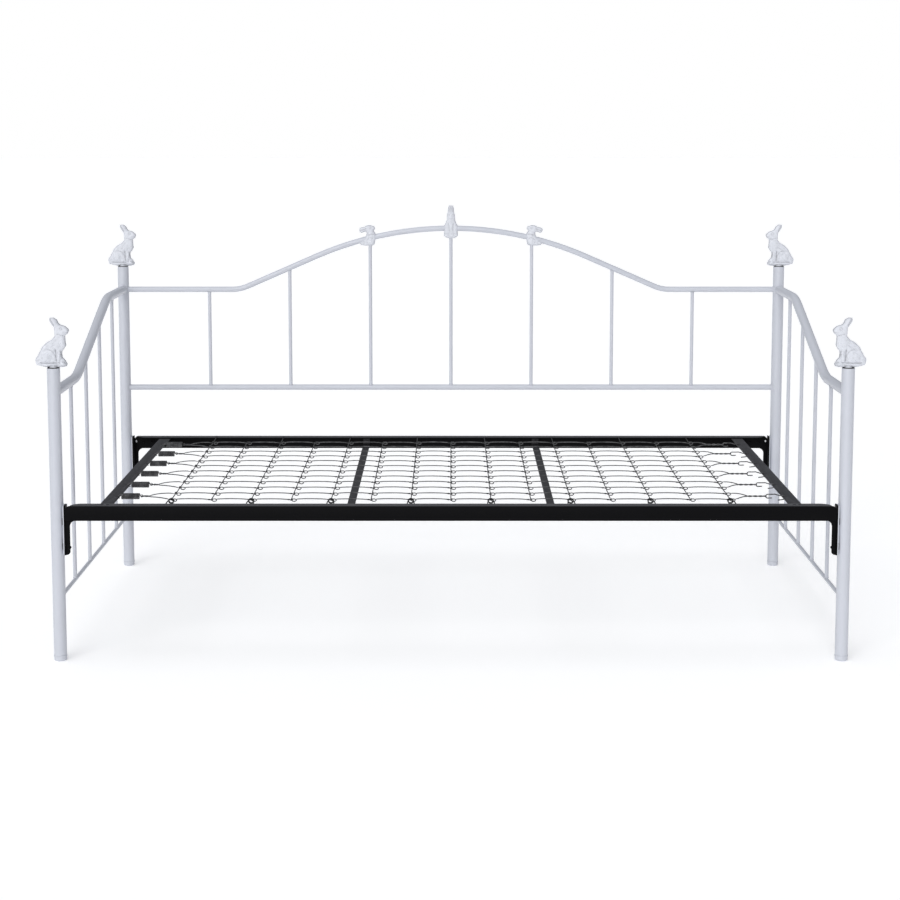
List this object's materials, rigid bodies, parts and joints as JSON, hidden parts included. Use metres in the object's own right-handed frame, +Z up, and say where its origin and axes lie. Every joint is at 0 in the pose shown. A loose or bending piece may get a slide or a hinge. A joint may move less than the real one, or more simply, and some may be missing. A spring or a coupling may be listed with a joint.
{
  "type": "daybed",
  "caption": "White tubular steel daybed with spindle ends, an arched spindle back, cast rabbit finials, and a black link-spring deck hooked between the posts.",
  "frame": {"origin": "on the floor under the middle of the daybed", "axes": "+X along the length, towards the right end as seen from the open front; +Y from the open front to the back panel; +Z up"},
  "size_m": [2.026, 1.032, 1.082],
  "materials": {
    "white_powder_coat": "semi-gloss white powder coat with a cool tint on steel tube and rod",
    "white_cast": "the same white powder coat on cast aluminium relief, softer in the fur grooves",
    "black_enamel": "satin black enamel on rolled steel angle, strap and wire",
    "spring_wire": "dark lacquered spring steel wire with a metallic sheen"
  },
  "bodies": {
    "bedstead": {"front_left_post": "white_powder_coat", "front_left_slot_plate": "white_powder_coat", "front_right_post": "white_powder_coat", "front_right_slot_plate": "white_powder_coat", "rear_left_post": "white_powder_coat", "rear_left_slot_plate": "white_powder_coat", "rear_right_post": "white_powder_coat", "rear_right_slot_plate": "white_powder_coat", "back_top_rail": "white_powder_coat", "back_lower_rail": "white_powder_coat", "back_spindle_1": "white_powder_coat", "back_spindle_2": "white_powder_coat", "back_spindle_3": "white_powder_coat", "back_spindle_4": "white_powder_coat", "back_spindle_5": "white_powder_coat", "back_spindle_6": "white_powder_coat", "back_spindle_7": "white_powder_coat", "left_arm_rail": "white_powder_coat", "left_lower_rail": "white_powder_coat", "left_spindle_1": "white_powder_coat", "left_spindle_2": "white_powder_coat", "left_spindle_3": "white_powder_coat", "left_spindle_4": "white_powder_coat", "right_arm_rail": "white_powder_coat", "right_lower_rail": "white_powder_coat", "right_spindle_1": "white_powder_coat", "right_spindle_2": "white_powder_coat", "right_spindle_3": "white_powder_coat", "right_spindle_4": "white_powder_coat", "left_rail_rabbit": "white_cast", "centre_rail_rabbit": "white_cast", "right_rail_rabbit": "white_cast"},
    "link_spring": {"front_side_rail": "black_enamel", "rear_side_rail": "black_enamel", "left_end_angle": "black_enamel", "left_cross_strap": "black_enamel", "right_end_angle": "black_enamel", "right_cross_strap": "black_enamel", "front_left_hook_bracket": "black_enamel", "front_right_hook_bracket": "black_enamel", "rear_left_hook_bracket": "black_enamel", "rear_right_hook_bracket": "black_enamel", "link_fabric": "black_enamel", "left_spring_1": "spring_wire", "left_spring_2": "spring_wire", "left_spring_3": "spring_wire", "left_spring_4": "spring_wire", "left_spring_5": "spring_wire", "left_spring_6": "spring_wire", "right_end_hook_1": "spring_wire", "right_end_hook_2": "spring_wire", "right_end_hook_3": "spring_wire", "right_end_hook_4": "spring_wire", "right_end_hook_5": "spring_wire", "right_end_hook_6": "spring_wire"},
    "front_left_finial": {"front_left_finial": "white_cast"},
    "front_right_finial": {"front_right_finial": "white_cast"},
    "rear_left_finial": {"rear_left_finial": "white_cast"},
    "rear_right_finial": {"rear_right_finial": "white_cast"}
  },
  "joints": [
    {"name": "deck_unhook", "type": "slide", "parent": "bedstead", "child": "link_spring", "axis": [0, 0, 1], "range_m": [0, 0.014]},
    {"name": "front_left_finial_turn", "type": "hinge", "parent": "bedstead", "child": "front_left_finial", "pos_m": [-0.97, -0.5, 0.732], "axis": [0, 0, 1], "continuous": true},
    {"name": "front_right_finial_turn", "type": "hinge", "parent": "bedstead", "child": "front_right_finial", "pos_m": [0.97, -0.5, 0.732], "axis": [0, 0, 1], "continuous": true},
    {"name": "rear_left_finial_turn", "type": "hinge", "parent": "bedstead", "child": "rear_left_finial", "pos_m": [-0.97, 0.5, 0.902], "axis": [0, 0, 1], "continuous": true},
    {"name": "rear_right_finial_turn", "type": "hinge", "parent": "bedstead", "child": "rear_right_finial", "pos_m": [0.97, 0.5, 0.902], "axis": [0, 0, 1], "continuous": true}
  ]
}
